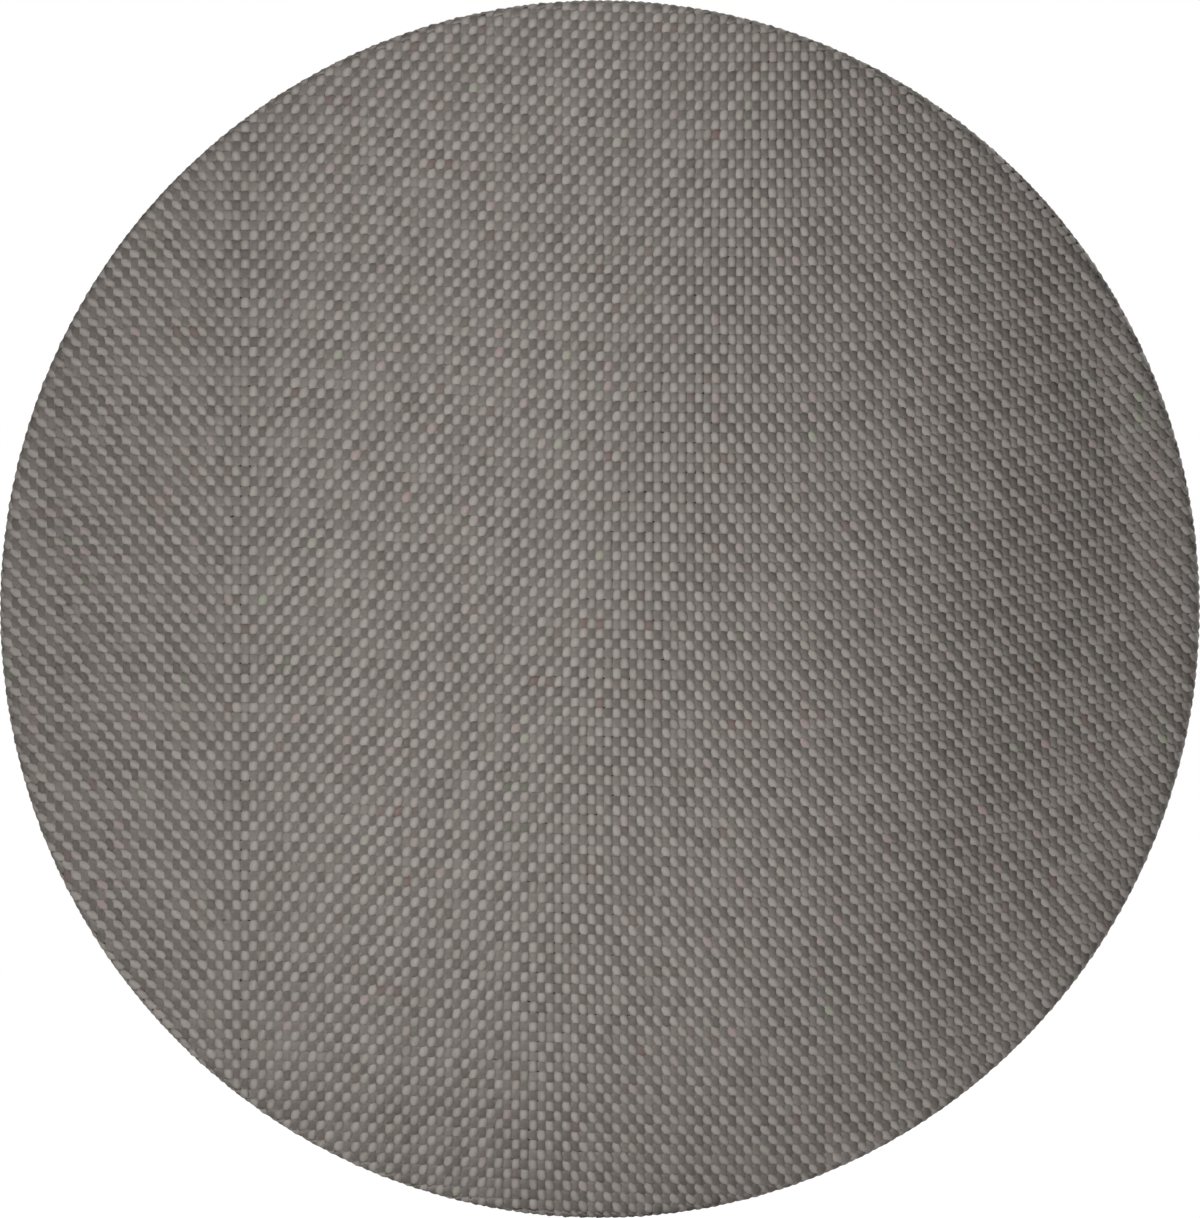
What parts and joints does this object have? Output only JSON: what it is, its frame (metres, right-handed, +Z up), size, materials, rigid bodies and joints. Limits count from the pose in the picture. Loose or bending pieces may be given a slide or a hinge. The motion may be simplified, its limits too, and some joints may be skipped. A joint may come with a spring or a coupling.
{
  "type": "collapsible backdrop panel",
  "caption": "Small round twist-fold backdrop: a coarse woven cloth turned over a hidden spring-steel hoop, with a hanging ring and a closing loop behind.",
  "frame": {"origin": "middle of the woven face, on its outer surface", "axes": "+X to the right and +Z up as the face is looked at, +Y from the face to the back"},
  "size_m": [0.3, 0.0163, 0.3045],
  "materials": {
    "face_cloth": "coarse plain weave, warm grey warp over darker weft",
    "liner": "black-out scrim",
    "back_cloth": "fine plain polyester",
    "edge_tape": "ribbed grosgrain tape",
    "webbing": "woven nylon webbing",
    "elastic": "knitted elastic",
    "label_cloth": "satin ribbon, blank",
    "spring_steel": "blued spring strip",
    "sleeve_steel": "bright pressed steel",
    "rivet_steel": "bright",
    "nickel": "nickel-plated wire"
  },
  "bodies": {
    "left_wing": {"face_cloth_left_wing": "face_cloth", "liner_left_wing": "liner", "back_cloth_left_wing": "back_cloth", "edge_tape_left_wing": "edge_tape", "hoop_left_wing": "spring_steel"},
    "left_bend": {"face_cloth_left_bend": "face_cloth", "liner_left_bend": "liner", "back_cloth_left_bend": "back_cloth", "edge_tape_left_bend_top": "edge_tape", "edge_tape_left_bend_bottom": "edge_tape", "hoop_left_bend_top": "spring_steel", "hoop_left_bend_bottom": "spring_steel"},
    "spine": {"face_cloth_spine": "face_cloth", "liner_spine": "liner", "back_cloth_spine": "back_cloth", "edge_tape_spine_top": "edge_tape", "edge_tape_spine_bottom": "edge_tape", "hoop_spine_top": "spring_steel", "hoop_spine_bottom": "spring_steel", "joiner_sleeve": "sleeve_steel", "joiner_rivets": "rivet_steel", "care_label": "label_cloth", "hang_tab": "webbing", "tab_patch": "edge_tape", "loop_anchor": "elastic"},
    "right_bend": {"face_cloth_right_bend": "face_cloth", "liner_right_bend": "liner", "back_cloth_right_bend": "back_cloth", "edge_tape_right_bend_top": "edge_tape", "edge_tape_right_bend_bottom": "edge_tape", "hoop_right_bend_top": "spring_steel", "hoop_right_bend_bottom": "spring_steel"},
    "right_wing": {"face_cloth_right_wing": "face_cloth", "liner_right_wing": "liner", "back_cloth_right_wing": "back_cloth", "edge_tape_right_wing": "edge_tape", "hoop_right_wing": "spring_steel"},
    "ring": {"hang_ring": "nickel"},
    "elastic_loop": {"closing_loop": "elastic"}
  },
  "joints": [
    {"name": "left_fold", "type": "hinge", "parent": "spine", "child": "left_bend", "pos_m": [-0.044, 0, 0], "axis": [0, 0, 1], "range_deg": [0, 65], "stiffness_Nm_per_rad": 1.2},
    {"name": "left_outer_fold", "type": "hinge", "parent": "left_bend", "child": "left_wing", "pos_m": [-0.076, 0, 0], "axis": [0, 0, 1], "range_deg": [0, 65], "stiffness_Nm_per_rad": 1.2},
    {"name": "right_fold", "type": "hinge", "parent": "spine", "child": "right_bend", "pos_m": [0.044, 0, 0], "axis": [0, 0, -1], "range_deg": [0, 65], "stiffness_Nm_per_rad": 1.2},
    {"name": "right_outer_fold", "type": "hinge", "parent": "right_bend", "child": "right_wing", "pos_m": [0.076, 0, 0], "axis": [0, 0, -1], "range_deg": [0, 65], "stiffness_Nm_per_rad": 1.2},
    {"name": "ring_swing", "type": "hinge", "parent": "spine", "child": "ring", "pos_m": [0, 0.01205, 0.14365], "axis": [1, 0, 0], "range_deg": [0, 180]},
    {"name": "loop_swing", "type": "hinge", "parent": "spine", "child": "elastic_loop", "pos_m": [0.023, 0.0113, 0.13568], "axis": [1, 0, 0], "range_deg": [0, 165]}
  ],
  "couplings": [
    {"joint": "right_fold", "follows": "left_fold", "ratio": 1},
    {"joint": "left_outer_fold", "follows": "left_fold", "ratio": 1},
    {"joint": "right_outer_fold", "follows": "left_fold", "ratio": 1}
  ]
}
